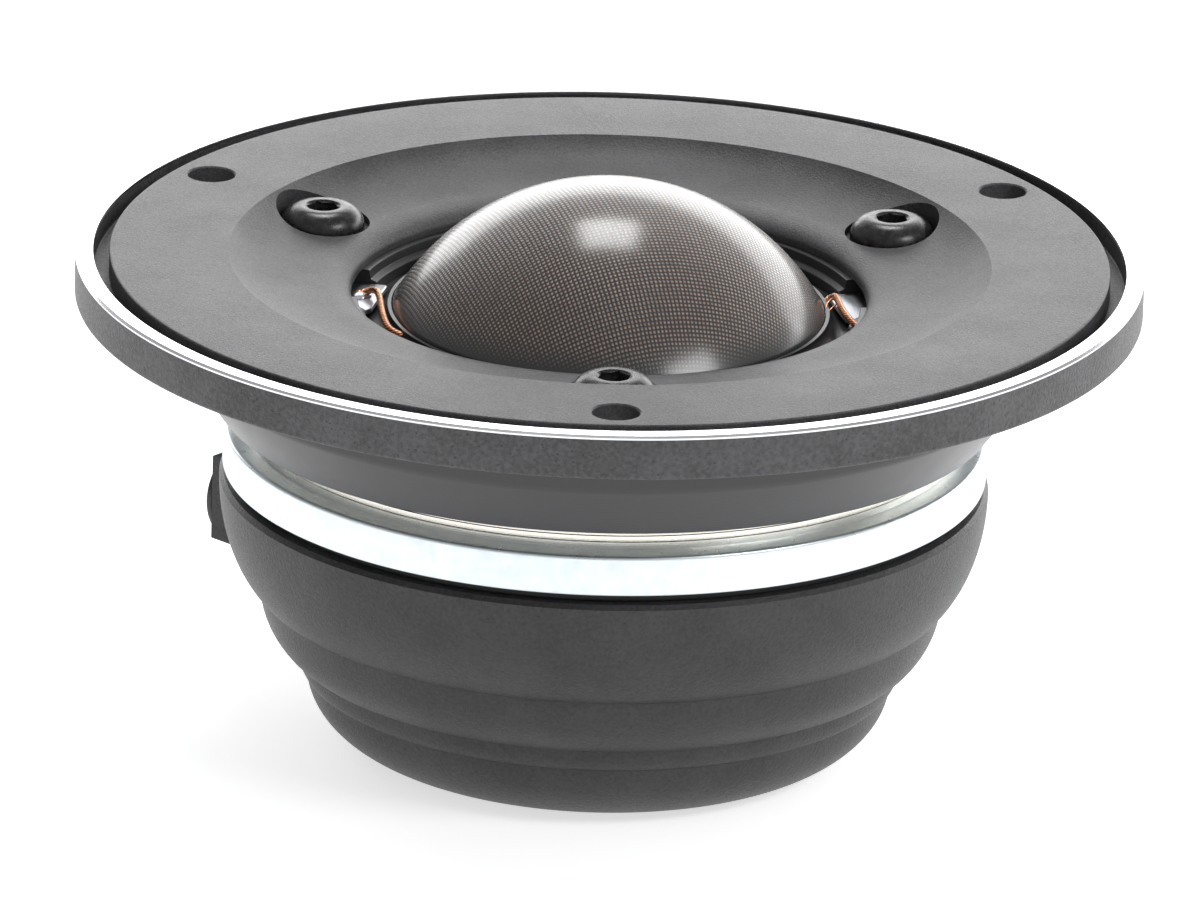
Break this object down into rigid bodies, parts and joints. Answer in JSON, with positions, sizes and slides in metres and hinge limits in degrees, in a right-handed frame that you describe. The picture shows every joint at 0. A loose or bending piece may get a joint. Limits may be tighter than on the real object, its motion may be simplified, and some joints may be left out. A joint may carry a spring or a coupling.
{
  "type": "soft-dome tweeter",
  "caption": "Soft-dome car tweeter: round cast flange with a dished waveguide, ring-magnet motor, zinc-plated back plate and a stepped rear chamber with two solder tabs.",
  "frame": {"origin": "centre of the rear chamber's flat base, where the tweeter stands", "axes": "+Z along the axis towards the listener; -Y passes through one mounting hole; the terminals face the quadrant between -X and +Y"},
  "size_m": [0.072, 0.072, 0.0392],
  "materials": {
    "textured_black": "fine-grained textured black coat on a casting",
    "cut_aluminium": "diamond-cut, bright",
    "satin_black": "smooth satin black",
    "black_screw": "black zinc, semi-gloss",
    "dome_cloth": "glossy coated woven cloth, dark brown with pale threads",
    "former_film": "amber film",
    "copper_wire": "enamelled copper",
    "surround_cloth": "black coated cloth",
    "moulded_black": "moulded satin black",
    "tinned_brass": "tinned",
    "copper_braid": "bare copper braid",
    "motor_steel": "turned steel",
    "turned_aluminium": "bright, fine turned lines",
    "nickel_plate": "nickel plate on a sintered magnet",
    "zinc_plate": "bluish white zinc plate",
    "felt": "grey felt",
    "gasket_rubber": "black rubber sheet",
    "foam": "open-cell foam",
    "rivet_brass": "nickelled brass",
    "red_sleeving": "red PVC",
    "black_sleeving": "black PVC"
  },
  "bodies": {
    "frame": {"flange_ring": "textured_black", "trim_ring": "cut_aluminium", "faceplate": "textured_black", "rear_collar": "satin_black", "faceplate_screws": "black_screw", "surround": "surround_cloth", "diaphragm_frame": "moulded_black", "clamp_ring": "moulded_black", "solder_lug_left": "tinned_brass", "solder_lug_right": "tinned_brass", "tinsel_lead_left": "copper_braid", "tinsel_lead_right": "copper_braid", "front_plate": "motor_steel", "magnet_sleeve": "turned_aluminium", "ring_magnet": "nickel_plate", "back_plate": "zinc_plate", "pole_piece": "motor_steel", "copper_cap": "copper_wire", "damping_pad": "felt", "chamber_gasket": "gasket_rubber", "rear_chamber": "textured_black", "chamber_screws": "black_screw", "chamber_foam": "foam", "terminal_plate": "moulded_black", "terminal_positive": "tinned_brass", "terminal_negative": "tinned_brass", "terminal_rivets": "rivet_brass", "hookup_wire_positive": "red_sleeving", "hookup_wire_negative": "black_sleeving"},
    "diaphragm": {"dome": "dome_cloth", "coil_former": "former_film", "voice_coil": "copper_wire"}
  },
  "joints": [
    {"name": "dome_excursion", "type": "slide", "parent": "frame", "child": "diaphragm", "axis": [0, 0, 1], "range_m": [-0.0004, 0.0004], "stiffness_N_per_m": 1000, "deforming": ["surround", "tinsel_lead_left", "tinsel_lead_right"]}
  ]
}
